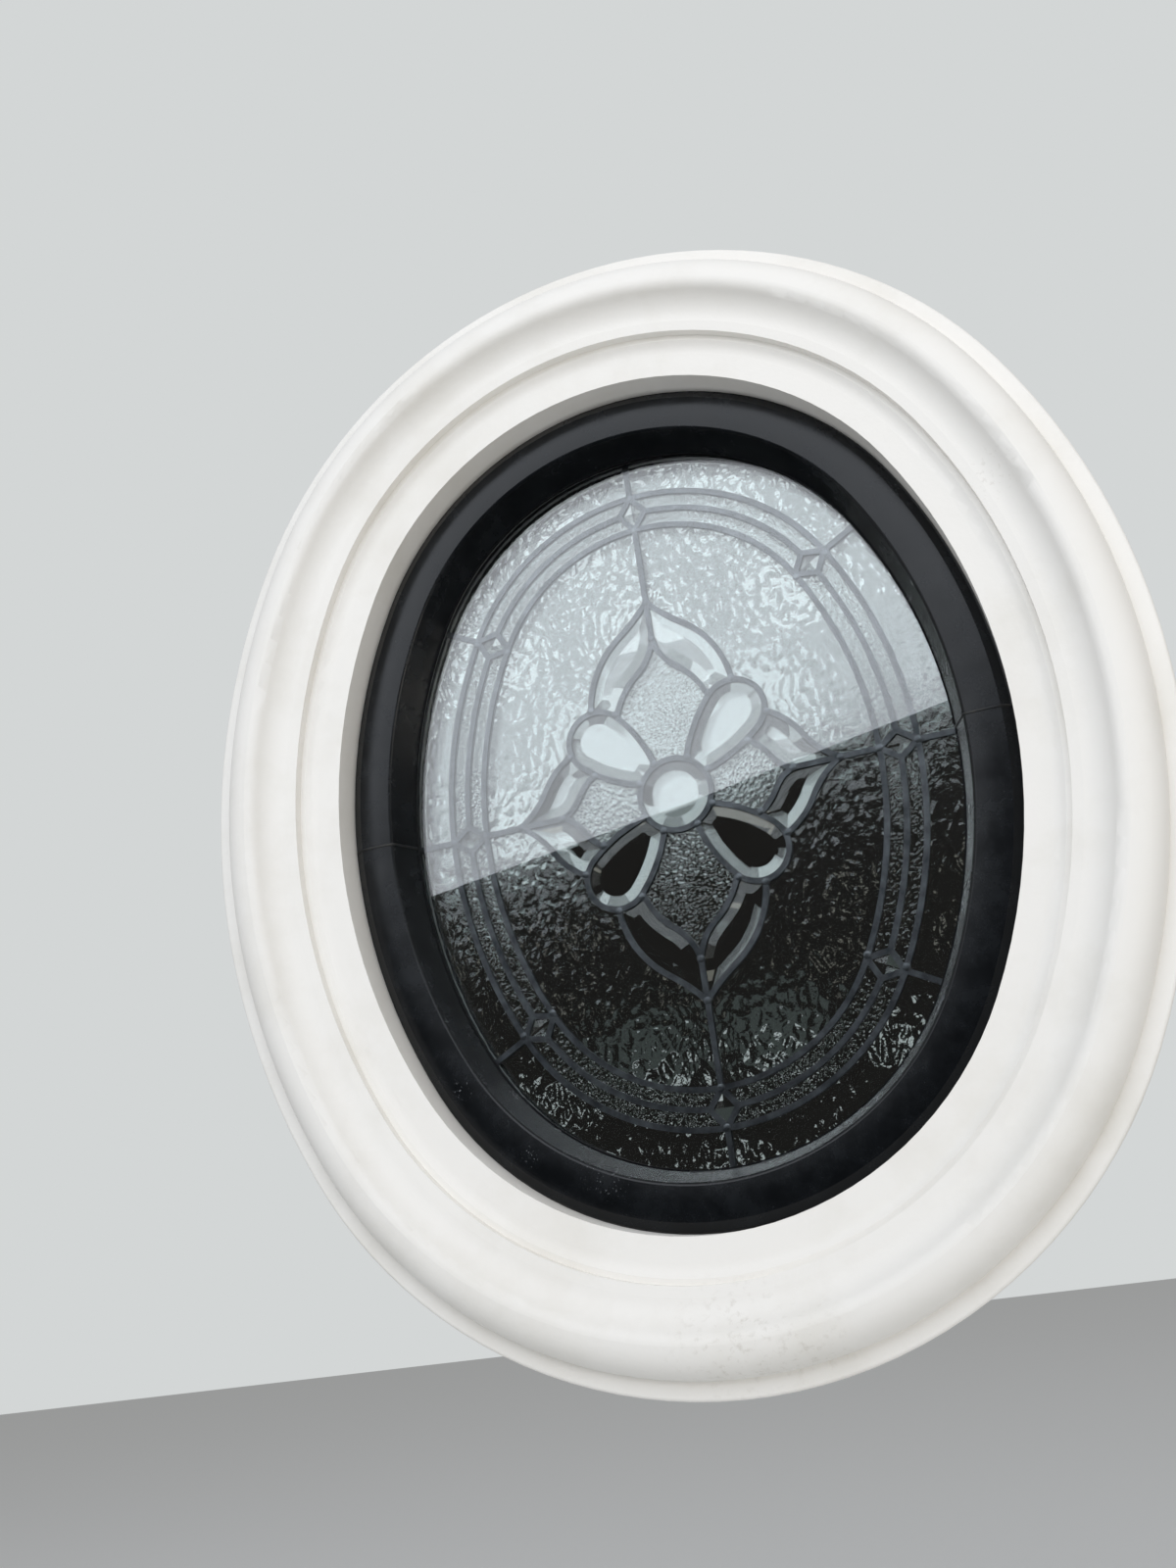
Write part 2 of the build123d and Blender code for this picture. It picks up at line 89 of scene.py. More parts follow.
camera = {
    "place": (0.3306, -1.3074, -0.3810),  # metres
    "turn": (106.664, 7.570, 19.699),  # degrees about X, Y and Z
    "lens": 34.65,  # millimetres
}
cameraData = bpy.data.cameras.new("camera")
cameraData.lens = camera["lens"]
cameraObject = showObject("camera", cameraData)
cameraObject.location = camera["place"]
cameraObject.rotation_euler = [radians(angle) for angle in camera["turn"]]
bpy.context.scene.camera = cameraObject
bpy.context.scene.view_settings.view_transform = "Standard"


# Stage: a pale floor and surroundings, and cards that are seen only in or through the glass, in metres

stage = {
    "floorColour": "#f0f1f0",
    "floorHeight": -1.1,
    "floorHalf": 9.0,
    "surroundings": "#d3d6d6",
    "fill": 0.35,  # the even light from all round
}
mirrored = {  # the dark card in front: an upright part, and a part that lies from its foot to the window
    "colour": "#15181a",
    "ahead": -3.0,
    "lift": 0.01,  # of the lying part, over the floor
    "top": [(-6.0, 0.15), (-1.6, 0.71), (-0.72, 0.83), (0.09, 0.96), (6.0, 1.9)],  # its upper edge, X and Z
}
room = {  # the box behind, dark as painted shade for an unlit room, with pale patches before its far side: painted light for the lit things in it
    "colour": "#2b2826",
    "half": 4.5,
    "front": 0.25,
    "back": 3.0,
    "top": 4.5,
    "patchGap": 0.02,  # from the patches to the far side
    # each row of patches: low, high, colour, where the first starts, its length, the gap after it, how many
    "rows": [
        (-0.80, -0.74, "#e6eaea", -4.3, 0.09, 0.25, 26),
        (-0.54, -0.48, "#e6eaea", -4.1, 0.09, 0.25, 26),
        (-0.28, -0.22, "#e6eaea", -4.2, 0.09, 0.25, 26),
        (-0.02, 0.04, "#e6eaea", -4.0, 0.09, 0.25, 26),
        (0.06, 0.20, "#565a58", -1.10, 0.28, 0.12, 2),
        (0.27, 0.30, "#8f8a82", -4.2, 0.09, 0.33, 21),
        (0.46, 0.49, "#8f8a82", -4.1, 0.09, 0.33, 21),
        (0.78, 0.95, "#a9afb0", -1.42, 0.34, 0.23, 2),
        (0.95, 1.22, "#a9afb0", -1.12, 0.32, 0.16, 2),
        (1.34, 1.50, "#c8cccd", -4.4, 0.26, 0.24, 17),
        (1.66, 1.82, "#c8cccd", -4.1, 0.26, 0.24, 17),
        (1.98, 2.14, "#c8cccd", -4.3, 0.26, 0.24, 17),
        (2.30, 2.46, "#c8cccd", -4.2, 0.26, 0.24, 17),
        (2.65, 2.84, "#c8cccd", -4.4, 0.26, 0.24, 17),
    ],
}


def plainCard(name, corners, faces, colour, onlyInGlass=True):
    # a matt card of the stage; one for the glass alone neither shows to the camera nor shades the object
    mesh = bpy.data.meshes.new(name)
    mesh.from_pydata(corners, [], faces)
    card = showObject(name, mesh)
    matt = startMaterial(name + " card", {
        "Base Color": colour, "Roughness": 0.9, "Specular IOR Level": 0.0,
    })[0]
    mesh.materials.append(matt)
    if onlyInGlass:
        card.visible_camera = False
        card.visible_diffuse = False
        card.visible_shadow = False
    return card


def buildStage():
    low, half = stage["floorHeight"], stage["floorHalf"]
    plainCard("floor", [(-half, -half, low), (half, -half, low), (half, half, low), (-half, half, low)],
              [(0, 1, 2, 3)], stage["floorColour"], onlyInGlass=False)

    ahead = mirrored["ahead"]
    edge = [(x, ahead, z) for x, z in mirrored["top"]]
    count = len(edge)
    left, right, foot = edge[0][0], edge[-1][0], low + mirrored["lift"]
    ground = [(x, y, foot) for x, y in ((right, ahead), (left, ahead), (left, 0.0), (right, 0.0))]
    plainCard("dark_ground", edge + ground, [
        [*range(count), count, count + 1], [count + 1, count, count + 3, count + 2],
    ], mirrored["colour"])

    half, top = room["half"], room["top"]
    outline = ((-half, low), (half, low), (half, top), (-half, top))
    corners = [(x, y, z) for y in (room["front"], room["back"]) for x, z in outline]
    walls = [(4, 5, 6, 7), (0, 1, 5, 4), (1, 2, 6, 5), (2, 3, 7, 6), (3, 0, 4, 7)]
    # the box's dark colour is painted shade for an unlit room, and the patches' pale colours are painted
    # light
    plainCard("unlit_room_painted_shade", corners, walls, room["colour"]).visible_glossy = False
    near = room["back"] - room["patchGap"]
    for number, (bottom, upper, colour, first, length, gap, count) in enumerate(room["rows"]):
        corners = []
        for left in [first + (length + gap) * step for step in range(count)]:
            patch = ((left, bottom), (left + length, bottom), (left + length, upper), (left, upper))
            corners += [(x, near, z) for x, z in patch]
        faces = [range(i, i + 4) for i in range(0, len(corners), 4)]
        plainCard(f"room_row_{number}", corners, faces, colour).visible_glossy = False

    # the world shows as a plain pale backdrop, and lights the object with its own even strength
    world = bpy.data.worlds.new("surroundings")
    world.use_nodes = True
    tree = world.node_tree
    tree.nodes.clear()
    path = addNode(tree, "ShaderNodeLightPath").outputs
    seen = addNode(tree, "ShaderNodeMath", {"operation": "MAXIMUM"}, {
        0: path["Is Camera Ray"], 1: path["Is Glossy Ray"],
    })
    shown = addNode(tree, "ShaderNodeMath", {"operation": "MAXIMUM"}, {
        0: seen.outputs[0], 1: path["Is Transmission Ray"],
    })
    light = addNode(tree, "ShaderNodeBackground", None, {"Color": (1, 1, 1, 1), "Strength": stage["fill"]})
    backdrop = addNode(tree, "ShaderNodeBackground", None, {
        "Color": linearColour(stage["surroundings"]), "Strength": 1.0,
    })
    mixed = addNode(tree, "ShaderNodeMixShader", None, {
        0: shown.outputs[0], 1: light.outputs[0], 2: backdrop.outputs[0],
    })
    addNode(tree, "ShaderNodeOutputWorld", None, {"Surface": mixed.outputs[0]})
    bpy.context.scene.world = world


softLights = {
    "sky": {  # wide, ahead of the window and above it: the glass mirrors it
        "place": (-0.2, -3.4, 2.6),
        "size": (4.8, 3.6),
        "turn": (62.0, 0.0, 0.0),  # degrees; unturned it shines down
        "radiance": 2.45,
        "colour": "#eff5ff",
    },
    "bounce": {  # low on the right, to fill the surround's lower side
        "place": (2.7, -2.3, -0.1),
        "size": (2.2, 0.8),
        "turn": (106.0, 0.0, 50.0),
        "radiance": 3.8,
        "colour": "#fff8ee",
    },
}


def buildLights():
    for name, soft in softLights.items():
        width, height = soft["size"]
        lamp = bpy.data.lights.new(name, "AREA")
        lamp.shape = "RECTANGLE"
        lamp.size, lamp.size_y = width, height
        lamp.energy = soft["radiance"] * pi * width * height  # watts
        lamp.color = linearColour(soft["colour"])[:3]
        lampObject = showObject(name, lamp)
        lampObject.location = soft["place"]
        lampObject.rotation_euler = [radians(angle) for angle in soft["turn"]]
        lampObject.visible_camera = False


buildStage()
buildLights()
print("camera, stage and light set")


# Materials: pattern sizes and depths are in millimetres. A Mix node for colours has its share at input 0,
# its two colours at 6 and 7, and its result at output 2.

def marksNear(tree, place, spots, grain, low, high):
    # marks that a material has only near some spots, from 0 to 1; a spot is (x, y, z) in metres and a radius,
    # and a mark shows where its noise is over low, in full where it is over high
    speckle = addNode(tree, "ShaderNodeTexNoise", None, {
        "Vector": place, "Scale": 1 / (grain * mm), "Detail": 4.0, "Roughness": 0.6,
    })
    marks = addNode(tree, "ShaderNodeMapRange", None, {
        "Value": speckle.outputs["Fac"], "From Min": low, "From Max": high,
    })
    near = 0.0
    for spot, radius in spots:
        away = addNode(tree, "ShaderNodeVectorMath", {"operation": "DISTANCE"}, {0: place, 1: spot})
        fade = addNode(tree, "ShaderNodeMapRange", {"interpolation_type": "SMOOTHSTEP"}, {
            "Value": away.outputs["Value"], "From Min": radius * mm, "From Max": 0.0,
        })
        near = addNode(tree, "ShaderNodeMath", {"operation": "MAXIMUM"}, {
            0: near, 1: fade.outputs["Result"],
        }).outputs[0]
    kept = addNode(tree, "ShaderNodeMath", {"operation": "MULTIPLY"}, {0: marks.outputs["Result"], 1: near})
    return kept.outputs[0]


surroundLook = {
    "white": "#f2efe9",
    "grimy": "#e6e2d9",
    "dirt": "#b3aa9b",
    "roughness": 0.6,
    "grime": 110.0,
    "wave": (75.0, 1.3),  # of the smoothed coat under the paint: from crest to crest, and its depth
    "stipple": (3.5, 0.11),  # left by the roller: its grain and depth
    "dirtGrain": 7.0,
    "dirtSpots": [((0.005, -0.09, -0.4755), 80), ((0.06, -0.085, -0.485), 55)],
    "scuffGrain": 4.0,
    "scuffSpots": [((0.340, -0.09, 0.187), 34)],
    "markStrength": 0.35,
}


def masonryPaint():
    # acrylic masonry paint, rolled over a smoothed moulding: matt white, with a faint stipple, soft hollows
    # and a little dirt and scuffing
    look = surroundLook
    material, tree, shader = startMaterial("rolled acrylic masonry paint", {
        "Roughness": look["roughness"], "IOR": 1.49,
    })
    place = addNode(tree, "ShaderNodeTexCoord").outputs["Object"]
    cloud = addNode(tree, "ShaderNodeTexNoise", None, {
        "Vector": place, "Scale": 1 / (look["grime"] * mm), "Detail": 6.0, "Roughness": 0.62,
    })
    grime = addNode(tree, "ShaderNodeMapRange", None, {
        "Value": cloud.outputs["Fac"], "From Min": 0.48, "From Max": 0.78, "To Max": 0.8,
    })
    painted = addNode(tree, "ShaderNodeMix", {"data_type": "RGBA"}, {
        0: grime.outputs["Result"], 6: linearColour(look["white"]), 7: linearColour(look["grimy"]),
    })
    dirt = marksNear(tree, place, look["dirtSpots"], look["dirtGrain"], 0.54, 0.70)
    scuffs = marksNear(tree, place, look["scuffSpots"], look["scuffGrain"], 0.58, 0.66)
    both = addNode(tree, "ShaderNodeMath", {"operation": "MAXIMUM"}, {0: dirt, 1: scuffs})
    faint = addNode(tree, "ShaderNodeMath", {"operation": "MULTIPLY"}, {
        0: both.outputs[0], 1: look["markStrength"],
    })
    coloured = addNode(tree, "ShaderNodeMix", {"data_type": "RGBA"}, {
        0: faint.outputs[0], 6: painted.outputs[2], 7: linearColour(look["dirt"]),
    })
    tree.links.new(coloured.outputs[2], shader.inputs["Base Color"])
    crest, depth = look["wave"]
    wave = addNode(tree, "ShaderNodeTexNoise", None, {
        "Vector": place, "Scale": 1 / (crest * mm), "Detail": 1.0,
    })
    hollows = addNode(tree, "ShaderNodeBump", None, {"Height": wave.outputs["Fac"], "Distance": depth * mm})
    grain, depth = look["stipple"]
    roller = addNode(tree, "ShaderNodeTexNoise", None, {
        "Vector": place, "Scale": 1 / (grain * mm), "Detail": 3.0,
    })
    stipple = addNode(tree, "ShaderNodeBump", None, {
        "Height": roller.outputs["Fac"], "Distance": depth * mm, "Normal": hollows.outputs["Normal"],
    })
    tree.links.new(stipple.outputs["Normal"], shader.inputs["Normal"])
    return material


frameLook = {
    "black": "#0e1012",
    "dusty": "#171a1d",
    "nick": "#8e9295",
    "specular": 0.23,  # a weathered skin mirrors less than new PVC
    "roughness": (0.21, 0.31),  # wiped clean, and dusty
    "dust": 35.0,
    "sag": (55.0, 0.7),  # from the bending: its length and depth
    "skin": (1.5, 0.012),  # of the satin: its grain and depth
    "nickGrain": 2.2,
    "nickSpots": [
        ((0.257, -0.033, 0.222), 12), ((-0.235, -0.033, -0.147), 14), ((-0.267, -0.035, -0.002), 18),
        ((-0.227, -0.035, -0.241), 14), ((-0.170, -0.035, -0.308), 14), ((-0.100, -0.033, -0.330), 30),
    ],
}


def blackPvc():
    # rigid PVC, extruded and then bent with heat: satin black, its broad soft highlights a little wavy
    look = frameLook
    material, tree, shader = startMaterial("extruded and bent rigid PVC", {
        "IOR": 1.54, "Specular IOR Level": look["specular"],
    })
    place = addNode(tree, "ShaderNodeTexCoord").outputs["Object"]
    cloud = addNode(tree, "ShaderNodeTexNoise", None, {
        "Vector": place, "Scale": 1 / (look["dust"] * mm), "Detail": 6.0, "Roughness": 0.65,
    })
    dust = addNode(tree, "ShaderNodeMapRange", None, {
        "Value": cloud.outputs["Fac"], "From Min": 0.42, "From Max": 0.72,
    })
    bare = addNode(tree, "ShaderNodeMix", {"data_type": "RGBA"}, {
        0: dust.outputs["Result"], 6: linearColour(look["black"]), 7: linearColour(look["dusty"]),
    })
    nicks = marksNear(tree, place, look["nickSpots"], look["nickGrain"], 0.64, 0.67)
    coloured = addNode(tree, "ShaderNodeMix", {"data_type": "RGBA"}, {
        0: nicks, 6: bare.outputs[2], 7: linearColour(look["nick"]),
    })
    tree.links.new(coloured.outputs[2], shader.inputs["Base Color"])
    clean, dusty = look["roughness"]
    sheen = addNode(tree, "ShaderNodeMapRange", None, {
        "Value": cloud.outputs["Fac"], "From Min": 0.35, "From Max": 0.7, "To Min": clean, "To Max": dusty,
    })
    tree.links.new(sheen.outputs["Result"], shader.inputs["Roughness"])
    length, depth = look["sag"]
    sag = addNode(tree, "ShaderNodeTexNoise", None, {
        "Vector": place, "Scale": 1 / (length * mm), "Detail": 1.0,
    })
    bent = addNode(tree, "ShaderNodeBump", None, {"Height": sag.outputs["Fac"], "Distance": depth * mm})
    grain, depth = look["skin"]
    fine = addNode(tree, "ShaderNodeTexNoise", None, {
        "Vector": place, "Scale": 1 / (grain * mm), "Detail": 2.0,
    })
    skin = addNode(tree, "ShaderNodeBump", None, {
        "Height": fine.outputs["Fac"], "Distance": depth * mm, "Normal": bent.outputs["Normal"],
    })
    tree.links.new(skin.outputs["Normal"], shader.inputs["Normal"])
    return material


rubberLook = {
    "fresh": "#0b0c0d",
    "bloomed": "#161719",
    "roughness": 0.62,
    "specular": 0.1,
    "bloom": 9.0,
    "skin": (0.9, 0.012),  # left by the die: its grain and depth
}


def blackRubber():
    # extruded EPDM: deep matt black with a faint grey bloom
    look = rubberLook
    material, tree, shader = startMaterial("extruded EPDM", {
        "Roughness": look["roughness"], "IOR": 1.5, "Specular IOR Level": look["specular"],
    })
    place = addNode(tree, "ShaderNodeTexCoord").outputs["Object"]
    cloud = addNode(tree, "ShaderNodeTexNoise", None, {
        "Vector": place, "Scale": 1 / (look["bloom"] * mm), "Detail": 4.0,
    })
    coloured = addNode(tree, "ShaderNodeMix", {"data_type": "RGBA"}, {
        0: cloud.outputs["Fac"], 6: linearColour(look["fresh"]), 7: linearColour(look["bloomed"]),
    })
    tree.links.new(coloured.outputs[2], shader.inputs["Base Color"])
    grain, depth = look["skin"]
    fine = addNode(tree, "ShaderNodeTexNoise", None, {
        "Vector": place, "Scale": 1 / (grain * mm), "Detail": 2.0,
    })
    skin = addNode(tree, "ShaderNodeBump", None, {"Height": fine.outputs["Fac"], "Distance": depth * mm})
    tree.links.new(skin.outputs["Normal"], shader.inputs["Normal"])
    return material


sealantLooks = {
    "joint_sealant": {"name": "tooled silicone", "colour": "#191a1b", "dust": "#34332f", "roughness": 0.45},
    "edge_sealant": {"name": "extruded butyl", "colour": "#0f1011", "dust": "#1b1c1d", "roughness": 0.4},
}
sealantSkin = {"dust": 16.0, "lumps": (6.0, 0.2)}  # the lumps' size and depth


def tooledSealant(look):
    # sealant drawn smooth by a tool: a soft sheen, slightly lumpy, with dust held in its skin
    material, tree, shader = startMaterial(look["name"], {"Roughness": look["roughness"], "IOR": 1.41})
    place = addNode(tree, "ShaderNodeTexCoord").outputs["Object"]
    cloud = addNode(tree, "ShaderNodeTexNoise", None, {
        "Vector": place, "Scale": 1 / (sealantSkin["dust"] * mm), "Detail": 5.0, "Roughness": 0.6,
    })
    dust = addNode(tree, "ShaderNodeMapRange", None, {
        "Value": cloud.outputs["Fac"], "From Min": 0.45, "From Max": 0.7,
    })
    coloured = addNode(tree, "ShaderNodeMix", {"data_type": "RGBA"}, {
        0: dust.outputs["Result"], 6: linearColour(look["colour"]), 7: linearColour(look["dust"]),
    })
    tree.links.new(coloured.outputs[2], shader.inputs["Base Color"])
    across, depth = sealantSkin["lumps"]
    lumps = addNode(tree, "ShaderNodeTexNoise", None, {
        "Vector": place, "Scale": 1 / (across * mm), "Detail": 2.0,
    })
    skin = addNode(tree, "ShaderNodeBump", None, {"Height": lumps.outputs["Fac"], "Distance": depth * mm})
    tree.links.new(skin.outputs["Normal"], shader.inputs["Normal"])
    return material


blockLook = {
    "dark": "#1a1b1c",
    "light": "#292a2b",
    "roughness": 0.5,
    "skin": (0.8, 0.05),  # from the spark-eroded mould: its grain and depth
}


def mouldedBlock():
    # moulded polypropylene: grey black with a fine even grain
    look = blockLook
    material, tree, shader = startMaterial("moulded polypropylene", {
        "Roughness": look["roughness"], "IOR": 1.49,
    })
    place = addNode(tree, "ShaderNodeTexCoord").outputs["Object"]
    grain, depth = look["skin"]
    fine = addNode(tree, "ShaderNodeTexNoise", None, {
        "Vector": place, "Scale": 1 / (grain * mm), "Detail": 3.0,
    })
    coloured = addNode(tree, "ShaderNodeMix", {"data_type": "RGBA"}, {
        0: fine.outputs["Fac"], 6: linearColour(look["dark"]), 7: linearColour(look["light"]),
    })
    tree.links.new(coloured.outputs[2], shader.inputs["Base Color"])
    skin = addNode(tree, "ShaderNodeBump", None, {"Height": fine.outputs["Fac"], "Distance": depth * mm})
    tree.links.new(skin.outputs["Normal"], shader.inputs["Normal"])
    return material


spacerLook = {
    "dull": "#a9abad",
    "bright": "#c8cacc",
    "roughness": 0.38,
    "skin": (1.5, 0.02),  # left by the rolls: its mottle and depth
}


def rolledAluminium():
    # mill-finished aluminium strip: pale grey, softly mottled by the rolls
    look = spacerLook
    material, tree, shader = startMaterial("rolled aluminium strip", {
        "Metallic": 1.0, "Roughness": look["roughness"],
    })
    place = addNode(tree, "ShaderNodeTexCoord").outputs["Object"]
    grain, depth = look["skin"]
    fine = addNode(tree, "ShaderNodeTexNoise", None, {
        "Vector": place, "Scale": 1 / (grain * mm), "Detail": 5.0,
    })
    coloured = addNode(tree, "ShaderNodeMix", {"data_type": "RGBA"}, {
        0: fine.outputs["Fac"], 6: linearColour(look["dull"]), 7: linearColour(look["bright"]),
    })
    tree.links.new(coloured.outputs[2], shader.inputs["Base Color"])
    skin = addNode(tree, "ShaderNodeBump", None, {"Height": fine.outputs["Fac"], "Distance": depth * mm})
    tree.links.new(skin.outputs["Normal"], shader.inputs["Normal"])
    return material


cameLook = {"dark": "#37393b", "worn": "#545659", "roughness": (0.3, 0.48)}
leadSkin = {"patina": 16.0, "rubbed": (1.6, 0.07)}  # the rubbed grain's size and depth


def drawnLead(name, look):
    # lead or its solder, gone grey: dull, softly blotched, brighter where it was rubbed
    material, tree, shader = startMaterial(name, {"Metallic": 1.0})
    place = addNode(tree, "ShaderNodeTexCoord").outputs["Object"]
    cloud = addNode(tree, "ShaderNodeTexNoise", None, {
        "Vector": place, "Scale": 1 / (leadSkin["patina"] * mm), "Detail": 6.0, "Roughness": 0.62,
    })
    patina = addNode(tree, "ShaderNodeMapRange", None, {
        "Value": cloud.outputs["Fac"], "From Min": 0.35, "From Max": 0.68,
    })
    coloured = addNode(tree, "ShaderNodeMix", {"data_type": "RGBA"}, {
        0: patina.outputs["Result"], 6: linearColour(look["dark"]), 7: linearColour(look["worn"]),
    })
    tree.links.new(coloured.outputs[2], shader.inputs["Base Color"])
    grain, depth = leadSkin["rubbed"]
    fine = addNode(tree, "ShaderNodeTexNoise", None, {
        "Vector": place, "Scale": 1 / (grain * mm), "Detail": 3.0,
    })
    bright, dull = look["roughness"]
    sheen = addNode(tree, "ShaderNodeMapRange", None, {
        "Value": fine.outputs["Fac"], "From Min": 0.25, "From Max": 0.75, "To Min": bright, "To Max": dull,
    })
    tree.links.new(sheen.outputs["Result"], shader.inputs["Roughness"])
    skin = addNode(tree, "ShaderNodeBump", None, {"Height": fine.outputs["Fac"], "Distance": depth * mm})
    tree.links.new(skin.outputs["Normal"], shader.inputs["Normal"])
    return material


# the tint, and the roughness where the glass is clean and where it has a film of dust
paneLook = {"tint": "#f7faf9", "film": (0.0, 0.02)}
bevelLook = {"tint": "#f6f9f8", "film": (0.0, 0.012)}
dustFilm = 45.0  # across one patch


def clearGlass(name, look):
    # glass floated flat, or ground and polished: clear, faintly green, mirroring sharply
    material, tree, shader = startMaterial(name, {
        "Base Color": look["tint"], "Transmission Weight": 1.0, "IOR": 1.52,
    })
    place = addNode(tree, "ShaderNodeTexCoord").outputs["Object"]
    cloud = addNode(tree, "ShaderNodeTexNoise", None, {
        "Vector": place, "Scale": 1 / (dustFilm * mm), "Detail": 6.0, "Roughness": 0.65,
    })
    clean, filmed = look["film"]
    film = addNode(tree, "ShaderNodeMapRange", None, {
        "Value": cloud.outputs["Fac"], "From Min": 0.5, "From Max": 0.8, "To Min": clean, "To Max": filmed,
    })
    tree.links.new(film.outputs["Result"], shader.inputs["Roughness"])
    return material


def pressedGlass(name, look):
    # cathedral glass from a patterned roller: clear, but broken into lenses that glint and blur
    material, tree, shader = startMaterial(name, {
        "Base Color": look["tint"], "Transmission Weight": 1.0, "Roughness": look["roughness"], "IOR": 1.52,
    })
    place = addNode(tree, "ShaderNodeTexCoord").outputs["Object"]
    length, depth = look["ripple"]
    ripple = addNode(tree, "ShaderNodeTexNoise", None, {
        "Vector": place, "Scale": 1 / (length * mm), "Detail": 2.0,
    })
    skin = addNode(tree, "ShaderNodeBump", None, {"Height": ripple.outputs["Fac"], "Distance": depth * mm})
    tree.links.new(skin.outputs["Normal"], shader.inputs["Normal"])
    return material


rainGlass = {
    "cell": (9.0, 16.0),  # one lens, wide and tall
    "depth": 0.8,
    "spacing": 2.0,  # between the mesh's points
    "tint": "#f2f6f5",
    "roughness": 0.03,
    "ripple": (5.0, 0.15),  # on the lenses: its length and depth
    "slot": "wavy_glass",
}
graniteGlass = {
    "cell": (4.6, 4.6),  # drawn coarser than the real grain, so that it shows
    "depth": 0.85,
    "spacing": 1.1,
    "tint": "#f2f6f5",
    "roughness": 0.01,
    "ripple": (3.0, 0.06),
    "slot": "granite_glass",
}

materials = {
    "surround_paint": masonryPaint(),
    "frame_black": blackPvc(),
    "gasket_rubber": blackRubber(),
    "joint_sealant": tooledSealant(sealantLooks["joint_sealant"]),
    "block_plastic": mouldedBlock(),
    "pane_glass": clearGlass("float glass", paneLook),
    "spacer_aluminium": rolledAluminium(),
    "edge_sealant": tooledSealant(sealantLooks["edge_sealant"]),
    "came_metal": drawnLead("drawn lead came", cameLook),
    "bevelled_glass": clearGlass("ground and polished plate glass", bevelLook),
    "wavy_glass": pressedGlass("rolled rain glass", rainGlass),
    "granite_glass": pressedGlass("rolled granite glass", graniteGlass),
}
materials["bead_black"] = materials["frame_black"]
print("materials made:", len(materials))


def dress(piece, slot):
    piece.data.materials.clear()
    piece.data.materials.append(materials[slot])


def smoothCurves(piece, edgeAngle):
    # smooth across a tessellated curve, sharp at a real edge
    bpy.ops.object.select_all(action="DESELECT")
    piece.select_set(True)
    bpy.context.view_layer.objects.active = piece
    bpy.ops.object.shade_smooth_by_angle(angle=radians(edgeAngle))


# the least angle of an edge that stays sharp; a bevel is only some ten degrees off the face
sharpFrom = {"cad": 28.0, "bevelled_glass": 6.0, "pressed": 55.0, "solder": 60.0, "seams": 50.0}
for name, node in nodes.items():
    dress(node, slotOf[name])
    smoothCurves(node, sharpFrom.get(slotOf[name], sharpFrom["cad"]))
    if slotOf[name].endswith("glass"):
        node.visible_shadow = False  # light passes the glass to what lies behind it
print("nodes dressed")


# Textured glass: each plate keeps its outline and its flat back, and its face gets the roller's relief

within = {"point": 1e-6, "plane": 1e-5}  # metres: how near points are that are one, or lie in one plane
plateMesh = {
    "seed": 7,
    "jitter": 0.18,  # the next three are shares of the spacing
    "clear": 0.45,  # from the outline
    "rowHeight": 0.866,  # of a grid of even triangles
    "block": 3000,  # points tested at a time
    "weld": 1e-4,  # millimetres
}
relief = {
    "valleys": 0.72,  # this and the next are shares of the depth
    "ripple": 0.28,
    "narrowness": 1.7,  # of the valleys between the lenses
    "rippleLength": 0.5,  # this and the next two are shares of a lens
    "warp": 0.45,
    "warpReach": 1.6,
    "warpSlice": 3.1,  # this and the next are slices of the noise, far apart
    "rippleSlice": 9.7,
    "seed": 7,
}
noise.seed_set(relief["seed"])  # or else the warp would change with each run


def frontOutline(node):
    # the corners (x, z) and the edges of a plate's front face, and the Y of its front and back
    plate = bmesh.new()
    plate.from_mesh(node.data)
    bmesh.ops.remove_doubles(plate, verts=plate.verts, dist=within["point"])
    front = min(v.co.y for v in plate.verts)
    back = max(v.co.y for v in plate.verts)
    inFront = {f for f in plate.faces if all(abs(v.co.y - front) < within["plane"] for v in f.verts)}
    number = {}
    corners = []
    edges = []
    for edge in plate.edges:
        if sum(f in inFront for f in edge.link_faces) != 1:
            continue
        for vert in edge.verts:
            if vert not in number:
                number[vert] = len(corners)
                corners.append((vert.co.x, vert.co.z))
        edges.append([number[vert] for vert in edge.verts])
    plate.free()
    return np.array(corners), np.array(edges), front, back


def pointsInside(corners, edges, spacing):
    # an uneven triangle grid of points inside the outline and clear of it
    rng = np.random.default_rng(plateMesh["seed"])
    jitter = plateMesh["jitter"]
    low, high = corners.min(0), corners.max(0)
    across = np.arange(low[0], high[0], spacing)
    up = np.arange(low[1], high[1], spacing * plateMesh["rowHeight"])
    x, z = np.meshgrid(across, up)
    x = x + (np.arange(len(up)) % 2)[:, None] * spacing / 2
    points = np.stack([x.ravel(), z.ravel()], 1)
    points += rng.uniform(-jitter, jitter, points.shape) * spacing
    first, second = corners[edges[:, 0]], corners[edges[:, 1]]
    along = second - first
    rise = np.where(along[:, 1] == 0, 1e-12, along[:, 1])  # never nought, as it divides, like the length
    length = np.maximum((along ** 2).sum(1), 1e-18)
    kept = []
    for block in np.array_split(points, max(1, len(points) // plateMesh["block"])):
        px, pz = block[:, 0:1], block[:, 1:2]
        crosses = (first[:, 1] > pz) != (second[:, 1] > pz)
        inside = (crosses & (px < first[:, 0] + (pz - first[:, 1]) * along[:, 0] / rise)).sum(1) % 2 == 1
        share = ((px - first[:, 0]) * along[:, 0] + (pz - first[:, 1]) * along[:, 1]) / length
        share = np.clip(share, 0, 1)
        gapX = first[:, 0] + share * along[:, 0] - px
        gapZ = first[:, 1] + share * along[:, 1] - pz
        clear = np.sqrt((gapX ** 2 + gapZ ** 2).min(1)) > plateMesh["clear"] * spacing
        kept.append(block[inside & clear])
    return np.concatenate(kept)


